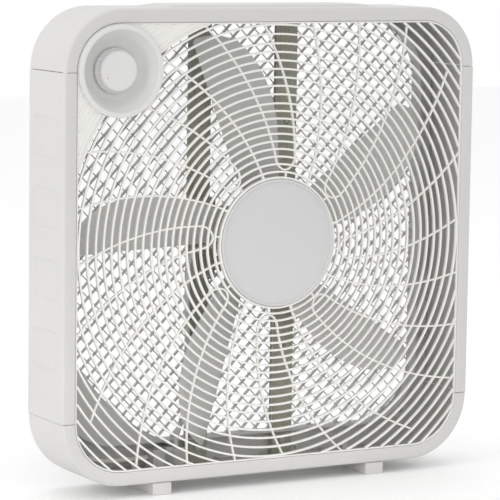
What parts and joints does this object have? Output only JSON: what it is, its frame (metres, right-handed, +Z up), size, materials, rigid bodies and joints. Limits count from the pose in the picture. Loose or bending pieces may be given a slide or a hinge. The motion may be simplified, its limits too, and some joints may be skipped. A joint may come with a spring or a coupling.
{
  "type": "box fan",
  "caption": "Square portable floor fan with a deep moulded housing, ring front grille, bladed impeller driven by a strut-mounted motor, and a recessed rotary speed control.",
  "frame": {"origin": "centre of the footprint at floor level, under the middle of the overall depth", "axes": "+Z up, the front grille faces -Y, +X is to the right as seen from the front"},
  "size_m": [0.52, 0.098, 0.537],
  "materials": {
    "shell": "fine satin moulded plastic, warm white",
    "grille": "satin moulded plastic, warm white",
    "control": "smooth moulded plastic, white",
    "blade": "satin moulded plastic, light grey",
    "strut": "olive grey painted sheet steel",
    "steel": "bare steel",
    "zinc": "bright zinc-plated steel",
    "copper": "varnished copper wire",
    "bronze": "sintered bronze",
    "dark": "black moulded plastic",
    "sleeve": "soft vinyl lead sleeve"
  },
  "bodies": {
    "housing": {"top_shell": "shell", "bottom_shell": "shell", "left_side_panel": "shell", "right_side_panel": "shell", "left_foot": "shell", "right_foot": "shell", "front_grille": "grille", "rear_grille": "grille", "hub_cap": "control", "control_dish": "control", "motor_mount_plate": "strut", "left_strut": "strut", "right_strut": "strut", "motor_front_bell": "steel", "motor_rear_bell": "steel", "stator_core": "steel", "capacitor_clip": "zinc", "strut_screw_1": "zinc", "strut_screw_2": "zinc", "strut_screw_3": "zinc", "strut_screw_4": "zinc", "rear_screw_1": "zinc", "rear_screw_2": "zinc", "rear_screw_3": "zinc", "rear_screw_4": "zinc", "rear_screw_5": "zinc", "rear_screw_6": "zinc", "rear_screw_7": "zinc", "rear_screw_8": "zinc", "mount_bolt_1": "zinc", "mount_bolt_2": "zinc", "mount_bolt_3": "zinc", "mount_bolt_4": "zinc", "foot_screw_1": "zinc", "foot_screw_2": "zinc", "foot_screw_3": "zinc", "foot_screw_4": "zinc", "front_winding": "copper", "rear_winding": "copper", "front_bearing": "bronze", "rear_bearing": "bronze", "speed_switch": "dark", "capacitor": "dark", "cord_inlet": "dark", "switch_lead": "sleeve", "motor_lead": "sleeve"},
    "impeller": {"impeller": "blade", "impeller_nut": "zinc", "motor_shaft": "steel", "rotor_core": "steel"},
    "knob": {"speed_knob": "control", "switch_spindle": "zinc"}
  },
  "joints": [
    {"name": "impeller_spin", "type": "hinge", "parent": "housing", "child": "impeller", "pos_m": [0, 0, 0.274], "axis": [0, -1, 0], "continuous": true},
    {"name": "knob_turn", "type": "hinge", "parent": "housing", "child": "knob", "pos_m": [-0.193, -0.03, 0.467], "axis": [0, 1, 0], "range_deg": [0, 135]}
  ]
}
